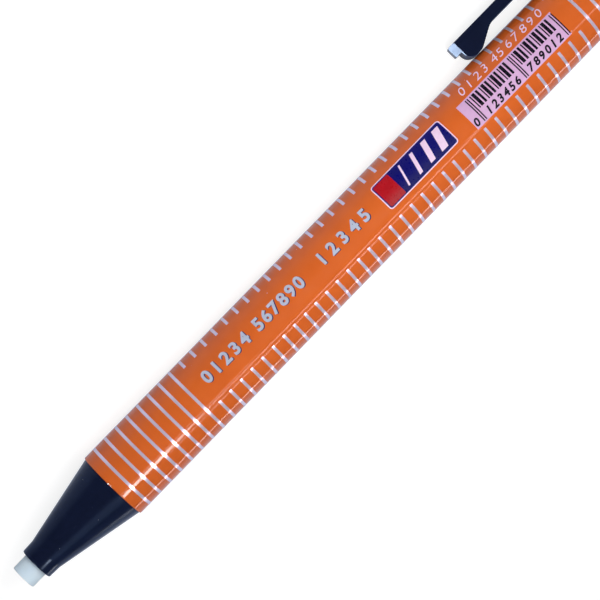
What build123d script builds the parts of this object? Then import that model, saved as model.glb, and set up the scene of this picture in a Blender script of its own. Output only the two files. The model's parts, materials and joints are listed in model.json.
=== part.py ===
from build123d import *

import math
import os

# A knock-type eraser pen. A slit chuck grips a round stick of eraser, a ring closes its jaws, a spring
# holds the chuck back in the ring, and a button at the rear pushes the lot forward through a feed tube.
# Lengths are millimetres, written once and worked outwards from the stick of eraser.
#
# The pen is drawn along +X from the eraser's tip, with its axis on X and the clip on the +Y side.
# Last, it is rolled until barrel and clip both rest on the floor, and stood on the origin.

# Eraser
eraser_diameter = 3.8
eraser_length = 80.0
eraser_stand_out = 2.53
eraser_edge_round = 0.12

# Nose, outside
tip_wall = 0.57
tip_edge_round = 0.2
collar_length = 2.07
collar_flare = 0.08
cone_length = 13.0
cone_step = 0.02
rim_step = 0.22

# Nose, inside
tip_bore_clearance = 0.08
tip_bore_length = 4.5
retainer_length = 2.5
retainer_wall = 0.48
retainer_room = 1.67
spigot_length = 9.4
spigot_wall = 0.9

# Chuck and clutch ring
grip_clearance = 0.03
jaw_wall = 0.57
jaw_length = 5.0
body_relief = 0.12
head_rise = 0.45
head_land = 1.1
head_taper_length = 3.1
head_clearance = 0.2
chuck_slits = 4
slit_width = 0.4
slit_length = 21.0
ring_length = 2.5
ring_wall = 0.6
ring_setback = 0.6
ring_travel = 1.2
knock_stroke = 3.0
stroke_spare = 0.3

# Spring, sleeve and coupler
spring_wire = 0.35
spring_length = 17.0
spring_turns = 10
spring_clearance = 0.125
sleeve_guide_length = 2.25
sleeve_wall = 0.45
flange_thickness = 1.5
coupler_engagement = 4.0
coupler_rib = 0.5
coupler_wall = 0.75
chuck_seat_depth = 6.0
tube_seat_depth = 5.5

# Feed tube and knock button
tube_clearance = 0.2
tube_wall = 0.6
tube_in_button = 6.0
button_guide_length = 10.4
button_stand_out = 9.8
button_end_wall = 2.2
button_edge_round = 0.7

# Barrel
barrel_length = 113.4
barrel_wall = 0.9
bore_step = 0.35
barrel_edge_chamfer = 0.1

# Tail
tail_wall = 0.8
tail_spigot_length = 8.0
band_length = 4.0
tail_flange_length = 1.4
tail_slope = 0.7

# Clip
clip_gap = 1.81
clip_thickness = 1.74
clip_width = 4.2
clip_length = 37.45
clip_edge_round = 0.3
clip_tip_round = 1.0
bump_front = 0.9
bump_heel = 3.32
bump_rear = 6.65
bump_front_round = 1.5
bump_heel_round = 1.5
bump_rear_round = 3.0
bump_clearance = 0.04
post_slope = 0.8

# Clip's root, where the arm turns in its post as it flexes
seam_gap = 0.15
knuckle_diameter = 1.2
knuckle_width = 3.0
knuckle_setback = 1.25
knuckle_drop = 0.13
neck_thickness = 0.7
neck_clearance = 0.12

# Fits: between pieces that stay together, and between pieces that slide or turn
slip_clearance = 0.05
running_clearance = 0.1
axial_gap = 0.05

# How far every cut runs past what it cuts, and how near two stations are to be one
overrun = 1.0
same_place = 0.001

# Radii, from the stick of eraser outwards
eraser_radius = eraser_diameter / 2
tip_bore = eraser_radius + tip_bore_clearance
retainer_bore = eraser_radius + grip_clearance
retainer_outer = retainer_bore + retainer_wall
chuck_bore = eraser_radius + grip_clearance
chuck_body = chuck_bore + jaw_wall
chuck_head = chuck_body + head_rise
head_chamber = chuck_head + head_clearance
sleeve_guide = chuck_body + running_clearance
spring_inner = chuck_body + spring_clearance
spring_mean = spring_inner + spring_wire / 2
spring_chamber = spring_inner + spring_wire + spring_clearance
sleeve_outer = spring_chamber + sleeve_wall
tube_bore = eraser_radius + tube_clearance
tube_outer = tube_bore + tube_wall
coupler_front_outer = spring_chamber - running_clearance
coupler_rear_outer = tube_outer + slip_clearance + coupler_wall

# Stations along the pen, from the eraser's tip
nose_front = eraser_stand_out
cone_start = nose_front + collar_length
barrel_front = cone_start + cone_length
retainer_front = nose_front + tip_bore_length
chamber_front = retainer_front + retainer_length + retainer_room
chuck_front = chamber_front + stroke_spare + knock_stroke
jaw_end = chuck_front + jaw_length
taper_start = chuck_front + head_land
taper_end = taper_start + head_taper_length
ring_front = taper_start + ring_setback
ring_rear = ring_front + ring_length
ring_stop = ring_front - ring_travel
sleeve_front = ring_rear + axial_gap
spring_front = sleeve_front + sleeve_guide_length
coupler_front = spring_front + spring_length
sleeve_rear = coupler_front + coupler_engagement
chuck_rear = coupler_front + chuck_seat_depth
tube_front = chuck_rear + coupler_rib
coupler_rear = tube_front + tube_seat_depth
coupler_step = sleeve_rear + knock_stroke + stroke_spare
spigot_rear = barrel_front + spigot_length
flange_rear = spigot_rear + flange_thickness
barrel_rear = barrel_front + barrel_length
tail_spigot_front = barrel_rear - tail_spigot_length
band_rear = barrel_rear + band_length
tail_rear = band_rear + tail_flange_length
button_front = tail_rear - button_guide_length
button_rear = tail_rear + button_stand_out
tube_rear = button_front + tube_in_button


def head_radius(station):
    """Radius of the chuck's taper at a station, down to the chuck's plain body."""
    fall = head_rise * (station - taper_start) / head_taper_length
    return max(chuck_head - fall, chuck_body)


# Radii that follow from the clutch ring, out to the barrel and the clip
ring_bore_front = head_radius(ring_front) + grip_clearance
ring_bore_rear = head_radius(ring_rear) + grip_clearance
ring_outer = ring_bore_front + ring_wall
mechanism_bore = max(ring_outer + running_clearance, sleeve_outer + slip_clearance)
spigot_outer = mechanism_bore + spigot_wall
barrel_socket = spigot_outer + slip_clearance
barrel_radius = barrel_socket + barrel_wall
barrel_bore = barrel_socket - bore_step
tail_bore = spigot_outer - tail_wall
button_radius = tail_bore - running_clearance
button_bore = tube_outer + slip_clearance
collar_front = tip_bore + tip_wall
collar_rear = collar_front + collar_flare
cone_front = collar_rear + cone_step
cone_rear = barrel_radius - rim_step
clip_inner = barrel_radius + clip_gap
clip_outer = clip_inner + clip_thickness
bump_low = barrel_radius + bump_clearance
knuckle_out = (clip_inner + clip_outer) / 2 - knuckle_drop
knuckle_station = barrel_rear + knuckle_setback


def turned(*outline):
    """A ring or rod: an outline of (station, radius) points, turned round the pen's axis."""
    return revolve(make_face(Polyline(*outline, close=True)), Axis.X)


def tube(front, rear, outer, inner):
    """A plain tube, or a rod where the inner radius is zero."""
    return turned((front, inner), (rear, inner), (rear, outer), (front, outer))


def rim(piece, station, radius):
    """The circular edges of a turned piece at one station and radius."""
    circles = piece.edges().filter_by(GeomType.CIRCLE)
    here = [edge for edge in circles if abs(edge.arc_center.X - station) < same_place]
    return [edge for edge in here if abs(edge.radius - radius) < same_place]


def crosswise(station, out, radius, width):
    """A round bar across the pen, at a station and a distance out from the axis."""
    return Pos(station, out, 0) * Cylinder(radius, width)


def eraser_stick():
    stick = tube(0, eraser_length, eraser_radius, 0)
    return fillet(rim(stick, 0, eraser_radius), eraser_edge_round)


def nose_cone():
    retainer_pocket = retainer_outer + slip_clearance
    nose = turned(
        (nose_front, tip_bore),
        (nose_front, collar_front),
        (cone_start, collar_rear),
        (cone_start, cone_front),
        (barrel_front, cone_rear),
        (barrel_front, spigot_outer),
        (spigot_rear, spigot_outer),
        (spigot_rear, mechanism_bore),
        (ring_stop, mechanism_bore),
        (ring_stop, head_chamber),
        (chamber_front, head_chamber),
        (chamber_front, retainer_pocket),
        (retainer_front, retainer_pocket),
        (retainer_front, tip_bore),
    )
    return fillet(rim(nose, nose_front, collar_front), tip_edge_round)


def eraser_retainer():
    return tube(retainer_front, retainer_front + retainer_length, retainer_outer, retainer_bore)


def chuck():
    body = turned(
        (chuck_front, chuck_bore),
        (chuck_front, chuck_head),
        (taper_start, chuck_head),
        (taper_end, chuck_body),
        (chuck_rear, chuck_body),
        (chuck_rear, eraser_radius + body_relief),
        (jaw_end, eraser_radius + body_relief),
        (jaw_end, chuck_bore),
    )
    reach = chuck_head + overrun
    slit = Pos(chuck_front - overrun, 0, 0) * Box(
        slit_length + overrun, reach, slit_width, align=(Align.MIN, Align.MIN, Align.CENTER)
    )
    for slit_number in range(chuck_slits):
        body -= Rot(X=360 * slit_number / chuck_slits) * slit
    return body


def clutch_ring():
    return turned(
        (ring_front, ring_bore_front),
        (ring_front, ring_outer),
        (ring_rear, ring_outer),
        (ring_rear, ring_bore_rear),
    )


def mechanism_sleeve():
    return turned(
        (sleeve_front, sleeve_guide),
        (sleeve_front, sleeve_outer),
        (spigot_rear, sleeve_outer),
        (spigot_rear, spigot_outer),
        (flange_rear, spigot_outer),
        (flange_rear, sleeve_outer),
        (sleeve_rear, sleeve_outer),
        (sleeve_rear, spring_chamber),
        (spring_front, spring_chamber),
        (spring_front, sleeve_guide),
    )


def return_spring():
    """The wire's centre line is a helix, drawn as two tangent arcs for each quarter of a turn."""
    first = spring_front + spring_wire / 2
    last = coupler_front - axial_gap - spring_wire / 2
    quarters = 4 * spring_turns
    rise = (last - first) / quarters
    lean = rise / (math.pi / 2 * spring_mean)

    def place(quarter):
        angle = math.pi / 2 * quarter
        return Vector(first + rise * quarter, spring_mean * math.cos(angle), spring_mean * math.sin(angle))

    def heading(quarter):
        angle = math.pi / 2 * quarter
        return Vector(lean, -math.sin(angle), math.cos(angle)).normalized()

    arcs = []
    for quarter in range(quarters):
        start, end = place(quarter), place(quarter + 1)
        leaving, arriving = heading(quarter), heading(quarter + 1)
        chord, both = end - start, leaving + arriving
        bend = 2 * (1 - leaving.dot(arriving))
        along = chord.dot(both)
        reach = (math.sqrt(along**2 + bend * chord.dot(chord)) - along) / bend
        middle = (start + end + (leaving - arriving) * reach) * 0.5
        crossing = ((end - arriving * reach) - (start + leaving * reach)).normalized()
        arcs.append(Edge.make_tangent_arc(start, leaving, middle))
        arcs.append(Edge.make_tangent_arc(middle, crossing, end))
    line = Wire(arcs)
    section = Plane(origin=place(0), z_dir=heading(0)) * Circle(spring_wire / 2)
    spring = sweep(section, path=line)

    turn_gap = 4 * rise * math.cos(math.atan(lean)) - spring_wire
    print("return_spring gap between turns", round(turn_gap, 2))
    return spring


def feed_coupler():
    return turned(
        (coupler_front, chuck_body + slip_clearance),
        (coupler_front, coupler_front_outer),
        (coupler_step, coupler_front_outer),
        (coupler_step, coupler_rear_outer),
        (coupler_rear, coupler_rear_outer),
        (coupler_rear, tube_outer + slip_clearance),
        (tube_front, tube_outer + slip_clearance),
        (tube_front, tube_bore),
        (chuck_rear, tube_bore),
        (chuck_rear, chuck_body + slip_clearance),
    )


def feed_tube():
    return tube(tube_front, tube_rear, tube_outer, tube_bore)


def barrel():
    shell = turned(
        (barrel_front, barrel_socket),
        (barrel_front, barrel_radius),
        (barrel_rear, barrel_radius),
        (barrel_rear, barrel_socket),
        (tail_spigot_front - axial_gap, barrel_socket),
        (tail_spigot_front - axial_gap, barrel_bore),
        (flange_rear, barrel_bore),
        (flange_rear, barrel_socket),
    )
    edges = rim(shell, barrel_front, barrel_radius) + rim(shell, barrel_rear, barrel_radius)
    return chamfer(edges, barrel_edge_chamfer)


def tail_collar():
    return turned(
        (tail_spigot_front, tail_bore),
        (tail_spigot_front, spigot_outer),
        (band_rear, spigot_outer),
        (band_rear, barrel_radius),
        (tail_rear - tail_slope, barrel_radius),
        (tail_rear, barrel_radius - tail_slope),
        (tail_rear, tail_bore),
    )


def knock_button():
    button = turned(
        (button_front, button_bore),
        (button_front, button_radius),
        (button_rear, button_radius),
        (button_rear, 0),
        (button_rear - button_end_wall, 0),
        (button_rear - button_end_wall, tube_bore),
        (tube_rear + axial_gap, tube_bore),
        (tube_rear + axial_gap, button_bore),
    )
    return fillet(rim(button, button_rear, button_radius), button_edge_round)


def clip_band():
    """The ring behind the barrel, and the post that holds the clip's root."""
    ring = tube(barrel_rear, band_rear, barrel_radius, barrel_socket)
    side = Polyline(
        (barrel_rear, 0),
        (barrel_rear, clip_outer),
        (band_rear - post_slope, clip_outer),
        (band_rear, clip_outer - post_slope),
        (band_rear, 0),
        close=True,
    )
    post = extrude(make_face(side), clip_width / 2, both=True)
    outer_edges = post.edges().filter_by(Axis.X).group_by(Axis.Y)[-1]
    post = fillet(outer_edges, clip_edge_round)
    band = ring + post - tube(barrel_rear - overrun, band_rear + overrun, barrel_socket, 0)

    socket_width = knuckle_width + 2 * slip_clearance
    socket_radius = knuckle_diameter / 2 + slip_clearance
    band -= crosswise(knuckle_station, knuckle_out, socket_radius, socket_width)
    mouth = Box(
        knuckle_setback + overrun,
        neck_thickness + 2 * neck_clearance,
        socket_width,
        align=(Align.MAX, Align.CENTER, Align.CENTER),
    )
    return band - Pos(knuckle_station, knuckle_out, 0) * mouth


def clip_arm():
    """The bar, the bump that presses on the barrel, and the knuckle that turns in the post."""
    tip = barrel_rear - clip_length
    root = barrel_rear - seam_gap
    corners = [
        (tip, clip_inner),
        (tip, clip_outer),
        (root, clip_outer),
        (root, clip_inner),
        (tip + bump_rear, clip_inner),
        (tip + bump_heel, bump_low),
        (tip + bump_front, bump_low),
        (tip + bump_front, clip_inner),
    ]
    side = make_face(Polyline(*corners, close=True))
    rounds = {4: bump_rear_round, 5: bump_heel_round, 6: bump_front_round}
    for corner, radius in rounds.items():
        station, out = corners[corner]
        nearest = min(side.vertices(), key=lambda v: math.hypot(v.X - station, v.Y - out))
        side = fillet(nearest, radius)
    arm = extrude(side, clip_width / 2, both=True)
    arm = fillet(arm.edges().filter_by(Axis.Y).group_by(Axis.X)[0], clip_tip_round)
    arm = fillet(arm.edges().filter_by(Axis.X).group_by(Axis.Y)[-1], clip_edge_round)

    neck = Box(
        knuckle_setback + seam_gap + overrun,
        neck_thickness,
        knuckle_width,
        align=(Align.MAX, Align.CENTER, Align.CENTER),
    )
    arm += Pos(knuckle_station, knuckle_out, 0) * neck
    return arm + crosswise(knuckle_station, knuckle_out, knuckle_diameter / 2, knuckle_width)


makers = (
    eraser_stick,
    nose_cone,
    eraser_retainer,
    chuck,
    clutch_ring,
    mechanism_sleeve,
    return_spring,
    feed_coupler,
    feed_tube,
    barrel,
    clip_band,
    clip_arm,
    tail_collar,
    knock_button,
)

# The roll at which the barrel and the clip's rounded lower edge are equally low
edge_out = clip_outer - clip_edge_round
edge_across = clip_width / 2 - clip_edge_round
edge_height = barrel_radius - clip_edge_round
roll = math.asin(edge_height / math.hypot(edge_out, edge_across)) - math.atan2(edge_across, edge_out)
rolled = Rot(X=-math.degrees(roll))

pieces = {maker.__name__: rolled * maker() for maker in makers}
box = Compound(list(pieces.values())).bounding_box()
standing = Pos(-box.center().X, -box.center().Y, -box.min.Z)

os.makedirs("parts", exist_ok=True)
for name, piece in pieces.items():
    export_step(standing * piece, f"parts/{name}.step")


def where(station, out):
    """A point on the pen's axis, or out from it on the clip's side, as the part stands."""
    return tuple((standing * rolled * Pos(station, out, 0)).position)


print("size", tuple(box.size))
print("roll in degrees", math.degrees(roll))
print("eraser tip", where(0, 0))
print("barrel front and rear", where(barrel_front, 0), where(barrel_rear, 0))
print("button end", where(button_rear, 0))
print("clip knuckle", where(knuckle_station, knuckle_out))
print("clip slot mouth", where(barrel_rear - clip_length, (barrel_radius + clip_inner) / 2))
print("spring ends", where(spring_front, 0), where(coupler_front, 0))
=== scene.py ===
# %% [markdown]
# A knock eraser pen: a round stick of eraser in a pen's barrel, with a knock button and a pocket clip.
# The working model is already packed, with every piece in its place, in metres. This notebook loads it
# as a fixed frame and dresses it: finer skins for the moulded pieces, silver print, and materials.

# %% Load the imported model
import bmesh
import bpy
import json
import math
from mathutils import Matrix, Vector


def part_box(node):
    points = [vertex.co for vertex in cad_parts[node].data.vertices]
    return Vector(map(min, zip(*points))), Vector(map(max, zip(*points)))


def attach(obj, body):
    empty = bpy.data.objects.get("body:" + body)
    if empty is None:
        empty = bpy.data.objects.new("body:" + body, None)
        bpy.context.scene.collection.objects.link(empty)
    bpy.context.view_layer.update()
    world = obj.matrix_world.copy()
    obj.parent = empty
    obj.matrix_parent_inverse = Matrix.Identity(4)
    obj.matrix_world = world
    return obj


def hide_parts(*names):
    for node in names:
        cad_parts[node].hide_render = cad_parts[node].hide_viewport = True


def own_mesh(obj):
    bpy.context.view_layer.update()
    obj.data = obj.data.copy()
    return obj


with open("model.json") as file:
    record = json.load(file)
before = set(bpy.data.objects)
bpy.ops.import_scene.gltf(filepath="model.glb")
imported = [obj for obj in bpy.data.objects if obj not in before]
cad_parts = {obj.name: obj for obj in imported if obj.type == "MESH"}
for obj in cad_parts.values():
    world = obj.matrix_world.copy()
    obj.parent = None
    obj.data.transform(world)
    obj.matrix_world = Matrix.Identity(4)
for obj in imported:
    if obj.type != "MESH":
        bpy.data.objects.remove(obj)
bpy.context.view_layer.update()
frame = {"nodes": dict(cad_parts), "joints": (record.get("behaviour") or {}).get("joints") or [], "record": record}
scene = bpy.context.scene
print("pieces in the frame:", len(frame["nodes"]))

# %% [markdown]
# The pen lies on its side, rolled until its clip touches the table, so its round pieces are awkward to
# draw in the table's directions. They are drawn in the pen's own frame instead, in millimetres: x runs
# from the eraser's tip to the button, y points to the clip, and z to the side that carries the prints.
# One matrix takes a finished mesh to its place. The clip's hinge gives the roll, the mount on the
# button's end gives the axis, and the stick of eraser gives the tip.

# %% The pen's own frame
MM = 0.001

joints = {joint["name"]: joint for joint in frame["joints"]}
mounts = {mount["name"]: mount for mount in frame["record"]["mounts"]}
lengthwise = Vector((1, 0, 0))
facing = -Vector(joints["clip_flex"]["axis"]).normalized()
clipward = facing.cross(lengthwise)
tip = Vector(mounts["button_end"]["pos_m"])
tip.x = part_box("eraser_stick")[0].x
directions = Matrix((lengthwise, clipward, facing)).transposed().to_4x4()
pen = Matrix.Translation(tip) @ directions @ Matrix.Scale(MM, 4)
print("the print's side leans from straight up by", round(math.degrees(facing.angle(Vector((0, 0, 1)))), 2))


def turned_sizes(node):
    """The front and rear stations of a round piece of the frame, and its largest radius."""
    back_to_pen = pen.inverted()
    points = [back_to_pen @ vertex.co for vertex in frame["nodes"][node].data.vertices]
    stations = [point.x for point in points]
    return min(stations), max(stations), max(math.hypot(point.y, point.z) for point in points)


barrel_front, barrel_rear, barrel_radius = turned_sizes("barrel")
nose_front, nose_rear, nose_radius = turned_sizes("nose_cone")
_, eraser_length, eraser_radius = turned_sizes("eraser_stick")
print("barrel from", round(barrel_front, 2), "to", round(barrel_rear, 2), "radius", round(barrel_radius, 3))

# %% [markdown]
# The camera comes first, because it says which finishes are seen closely. It is a long lens, less than
# half a metre away. The pen climbs the picture at a slope, and its rear end lies a little further off
# than its tip. Slope, lean, distance and aim could be set by eye, but an error would show all along the
# rings. So they were worked out from the spacing of the rings.

# %% Camera
PICTURE_SLOPE = math.radians(45.78)
REAR_LEAN = math.radians(2.52)
CAMERA_DISTANCE = 379.5
CAMERA_LENS = 163.8
CAMERA_AIM = Vector((54.16, -0.67, 0))

forward = Vector((math.cos(REAR_LEAN), 0, math.sin(REAR_LEAN)))
backward = Vector((-math.sin(REAR_LEAN), 0, math.cos(REAR_LEAN)))
sideways = Vector((0, -1, 0))
picture_right = forward * math.cos(PICTURE_SLOPE) + sideways * math.sin(PICTURE_SLOPE)
picture_up = forward * math.sin(PICTURE_SLOPE) - sideways * math.cos(PICTURE_SLOPE)
picture = Matrix((picture_right, picture_up, backward)).transposed().to_4x4()

camera = bpy.data.objects.new("camera", bpy.data.cameras.new("camera"))
camera.data.sensor_width = 36
camera.data.lens = CAMERA_LENS
camera.data.clip_start = 0.01
camera.matrix_world = (
    Matrix.Translation(pen @ (CAMERA_AIM + backward * CAMERA_DISTANCE)) @ directions @ picture
)
scene.collection.objects.link(camera)
scene.camera = camera
print("camera at", [round(value, 3) for value in camera.location])

# %% [markdown]
# Materials are built from nodes. They could be drawn by hand in the shader editor, but in a script each
# finish reads from top to bottom, and can be made again. One helper adds a node and fills its inputs,
# with a plain value or with a link to another node's output. The others are short ways to do sums, to
# mix two colours by a mask, and to begin a node group or a material.

# %% Helpers for nodes
FLOAT = "NodeSocketFloat"
INTEGER = "NodeSocketInt"
SWITCH = "NodeSocketBool"
VECTOR = "NodeSocketVector"
MATERIAL = "NodeSocketMaterial"


def add_node(tree, kind, inputs=(), **settings):
    """A node with its settings, whose inputs get plain values or links."""
    node = tree.nodes.new(kind)
    for name, value in settings.items():
        setattr(node, name, value)
    for socket, value in dict(inputs).items():
        if isinstance(value, bpy.types.NodeSocket):
            tree.links.new(value, node.inputs[socket])
        else:
            node.inputs[socket].default_value = value
    return node


def number(tree, operation, first, second=0.0, **settings):
    """The output of one arithmetic node."""
    inputs = {0: first, 1: second}
    return add_node(tree, "ShaderNodeMath", inputs, operation=operation, **settings).outputs[0]


def blend_colours(tree, share, first, second):
    """One colour or the other, by a mask."""
    mix = add_node(tree, "ShaderNodeMix", data_type="RGBA")
    for socket, value in ((mix.inputs[0], share), (mix.inputs[6], first), (mix.inputs[7], second)):
        if isinstance(value, bpy.types.NodeSocket):
            tree.links.new(value, socket)
        else:
            socket.default_value = value
    return mix.outputs[2]


def new_group(name, inputs, outputs):
    """A shader node group with named inputs and outputs."""
    group = bpy.data.node_groups.new(name, "ShaderNodeTree")
    for socket, kind in inputs.items():
        group.interface.new_socket(socket, in_out="INPUT", socket_type=kind)
    for socket, kind in outputs.items():
        group.interface.new_socket(socket, in_out="OUTPUT", socket_type=kind)
    return group, group.nodes.new("NodeGroupInput").outputs, group.nodes.new("NodeGroupOutput").inputs


def new_material(name):
    """A material with its shader and with the coordinates of the object that carries it."""
    material = bpy.data.materials.new(name)
    material.use_nodes = True
    tree = material.node_tree
    position = add_node(tree, "ShaderNodeTexCoord").outputs["Object"]
    return material, tree, tree.nodes["Principled BSDF"], position


def set_inputs(shader, values):
    """Sets inputs of a shader that are plain numbers and colours."""
    for socket, value in values.items():
        shader.inputs[socket].default_value = value

# %% [markdown]
# Four effects are shared by most finishes, so each is a node group. They could be painted as pictures,
# but noise needs no file, has no seams, and stays sharp close up. Dust is a scatter of tiny pale specks:
# a Voronoi texture cuts space into cells, a cell's random colour says whether it holds a speck, and the
# distance to the cell's middle draws it. Mottle is a slow noise between two values, as uneven polish
# shows. Scuffs are thin lines where a stretched noise passes through its middle value. Ripple is the
# faint waviness of a moulded surface, a height for a Bump node.

# %% Shared node groups
NOISE_RANGE = (0.3, 0.7)
SPECK_SHARPNESS = 12.0
SCUFF_SHARPNESS = 60.0
GRAIN_SHARE = 0.08


def dust_group():
    inputs = {"Vector": VECTOR, "Scale": FLOAT, "Share": FLOAT, "Size": FLOAT}
    group, given, result = new_group("dust specks", inputs, {"Mask": FLOAT})
    cells = add_node(group, "ShaderNodeTexVoronoi", {"Vector": given["Vector"], "Scale": given["Scale"]})
    chance = add_node(group, "ShaderNodeSeparateColor", {0: cells.outputs["Color"]})
    chosen = number(group, "LESS_THAN", chance.outputs[0], given["Share"])
    reach = number(group, "MULTIPLY", given["Size"], chance.outputs[1])
    inside = number(group, "SUBTRACT", reach, cells.outputs["Distance"])
    speck = number(group, "MULTIPLY", inside, SPECK_SHARPNESS, use_clamp=True)
    group.links.new(number(group, "MULTIPLY", chosen, speck), result["Mask"])
    return group


def mottle_group():
    inputs = {"Vector": VECTOR, "Scale": FLOAT, "Low": FLOAT, "High": FLOAT}
    group, given, result = new_group("mottle", inputs, {"Value": FLOAT})
    pattern = {"Vector": given["Vector"], "Scale": given["Scale"], "Detail": 3.0}
    noise = add_node(group, "ShaderNodeTexNoise", pattern).outputs[0]
    low, high = NOISE_RANGE
    spread = add_node(
        group,
        "ShaderNodeMapRange",
        {"Value": noise, "From Min": low, "From Max": high, "To Min": given["Low"], "To Max": given["High"]},
    )
    group.links.new(spread.outputs[0], result["Value"])
    return group


def scuff_group():
    inputs = {"Vector": VECTOR, "Stretch": VECTOR, "Share": FLOAT}
    group, given, result = new_group("scuffs", inputs, {"Mask": FLOAT})
    factors = {0: given["Vector"], 1: given["Stretch"]}
    stretched = add_node(group, "ShaderNodeVectorMath", factors, operation="MULTIPLY").outputs[0]
    pattern = {"Vector": stretched, "Scale": 1.0, "Detail": 1.0}
    noise = add_node(group, "ShaderNodeTexNoise", pattern).outputs[0]
    off_middle = number(group, "ABSOLUTE", number(group, "SUBTRACT", noise, 0.5))
    line = number(group, "SUBTRACT", given["Share"], off_middle)
    group.links.new(number(group, "MULTIPLY", line, SCUFF_SHARPNESS, use_clamp=True), result["Mask"])
    return group


def ripple_group():
    inputs = {"Vector": VECTOR, "Wave": FLOAT, "Grain": FLOAT}
    group, given, result = new_group("moulded ripple", inputs, {"Height": FLOAT})
    slow = {"Vector": given["Vector"], "Scale": given["Wave"], "Detail": 1.0}
    quick = {"Vector": given["Vector"], "Scale": given["Grain"], "Detail": 2.0}
    wave = add_node(group, "ShaderNodeTexNoise", slow).outputs[0]
    grain = add_node(group, "ShaderNodeTexNoise", quick).outputs[0]
    fine = number(group, "MULTIPLY", grain, GRAIN_SHARE)
    group.links.new(number(group, "ADD", wave, fine), result["Height"])
    return group


dust, mottle, scuffs, ripple = dust_group(), mottle_group(), scuff_group(), ripple_group()
print("node groups:", [group.name for group in (dust, mottle, scuffs, ripple)])


def use_group(tree, group, **inputs):
    """The first output of a node group placed in a material."""
    return add_node(tree, "ShaderNodeGroup", inputs, node_tree=group).outputs[0]


def add_bump(tree, height, millimetres):
    """The normal that a height between nought and one gives, when it stands for a depth in millimetres."""
    inputs = {"Height": height, "Distance": millimetres * MM, "Strength": 1.0}
    return add_node(tree, "ShaderNodeBump", inputs).outputs[0]


def per_metre(millimetres):
    """The scale of a texture whose pattern repeats about once in a length."""
    return 1 / (millimetres * MM)

# %% [markdown]
# Barrel, nose, clip, tail and button are glossy mouldings, and the parts of the clutch are a duller
# natural plastic. A plain colour would look like a computer's plastic, so they share one recipe: two
# close shades of the colour, a little dust, uneven polish, and a ripple that makes a reflection's edge
# waver. The barrel's ripple is less than a thousandth of a millimetre, because the lines that it mirrors
# are nearly straight. The black is a blue one: its weak reflection is tinted blue, and a little blue
# sheen lights the edges that are seen at a slant.

# %% Moulded plastics
SHADE_PATCH = 4
SPECK_SPACING, SPECK_SIZE = 0.6, 0.13
POLISH_PATCH = 1.3
SCUFF_LENGTH, SCUFF_SPACING, SCUFF_SHARE = 7, 0.5, 0.006
SCUFF_DULLNESS, DUST_DULLNESS = 0.25, 0.5
WAVE_LENGTH, GRAIN_LENGTH = 5, 0.12
DUST_COLOUR = (0.55, 0.58, 0.65, 1)


def moulded_plastic(name, colour, deeper, polish, dust_share, ripple_depth, constants=()):
    """polish is the range of roughness, ripple_depth is in millimetres, and constants are plain inputs."""
    material, tree, shader, position = new_material(name)
    shade = use_group(tree, mottle, Vector=position, Scale=per_metre(SHADE_PATCH), Low=0.0, High=1.0)
    body_colour = blend_colours(tree, shade, (*colour, 1), (*deeper, 1))
    spacing = per_metre(SPECK_SPACING)
    specks = use_group(tree, dust, Vector=position, Scale=spacing, Share=dust_share, Size=SPECK_SIZE)
    tree.links.new(blend_colours(tree, specks, body_colour, DUST_COLOUR), shader.inputs["Base Color"])
    low, high = polish
    rough = use_group(tree, mottle, Vector=position, Scale=per_metre(POLISH_PATCH), Low=low, High=high)
    stretch = (per_metre(SCUFF_LENGTH), per_metre(SCUFF_SPACING), per_metre(SCUFF_SPACING))
    marks = use_group(tree, scuffs, Vector=position, Stretch=stretch, Share=SCUFF_SHARE)
    scuffed = number(tree, "MULTIPLY", marks, SCUFF_DULLNESS)
    dusty = number(tree, "MULTIPLY", specks, DUST_DULLNESS)
    dulled = number(tree, "MAXIMUM", scuffed, dusty)
    tree.links.new(number(tree, "ADD", rough, dulled), shader.inputs["Roughness"])
    wave, grain = per_metre(WAVE_LENGTH), per_metre(GRAIN_LENGTH)
    height = use_group(tree, ripple, Vector=position, Wave=wave, Grain=grain)
    tree.links.new(add_bump(tree, height, ripple_depth), shader.inputs["Normal"])
    set_inputs(shader, {"IOR": 1.49} | dict(constants))
    return material


orange_plastic = moulded_plastic(
    "orange plastic",
    colour=(0.72, 0.140, 0.024),
    deeper=(0.68, 0.126, 0.020),
    polish=(0.06, 0.09),
    dust_share=0.03,
    ripple_depth=0.0003,
    constants={"Specular IOR Level": 0.3},
)
black_plastic = moulded_plastic(
    "blue black plastic",
    colour=(0.006, 0.009, 0.030),
    deeper=(0.004, 0.006, 0.021),
    polish=(0.16, 0.22),
    dust_share=0.12,
    ripple_depth=0.001,
    constants={
        "Specular IOR Level": 0.17,
        "Specular Tint": (0.6, 0.75, 1.0, 1),
        "Sheen Weight": 0.12,
        "Sheen Roughness": 0.6,
        "Sheen Tint": (0.15, 0.35, 1.0, 1),
    },
)
natural_plastic = moulded_plastic(
    "natural plastic",
    colour=(0.66, 0.65, 0.60),
    deeper=(0.60, 0.59, 0.53),
    polish=(0.32, 0.42),
    dust_share=0.0,
    ripple_depth=0.003,
)
print("plastics:", orange_plastic.name, black_plastic.name, natural_plastic.name)

# %% [markdown]
# The stick is soft white vinyl, cool in tone, which lets a little light in under its skin. It is chalky
# rather than glossy, has a fine grain, and picks up a faint grey where fingers and paper have touched
# it. The same groups as in the plastics serve, at smaller sizes. The light under the skin could be left
# out, but then the cut edge of the tip would look as hard as stone.

# %% Eraser vinyl
GREY_PATCH = 1.5
CRUMB_SPACING, CRUMB_SIZE = 0.35, 0.25
VINYL_GRAIN, VINYL_FINE_GRAIN, VINYL_GRAIN_DEPTH = 0.5, 0.06, 0.012


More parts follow.
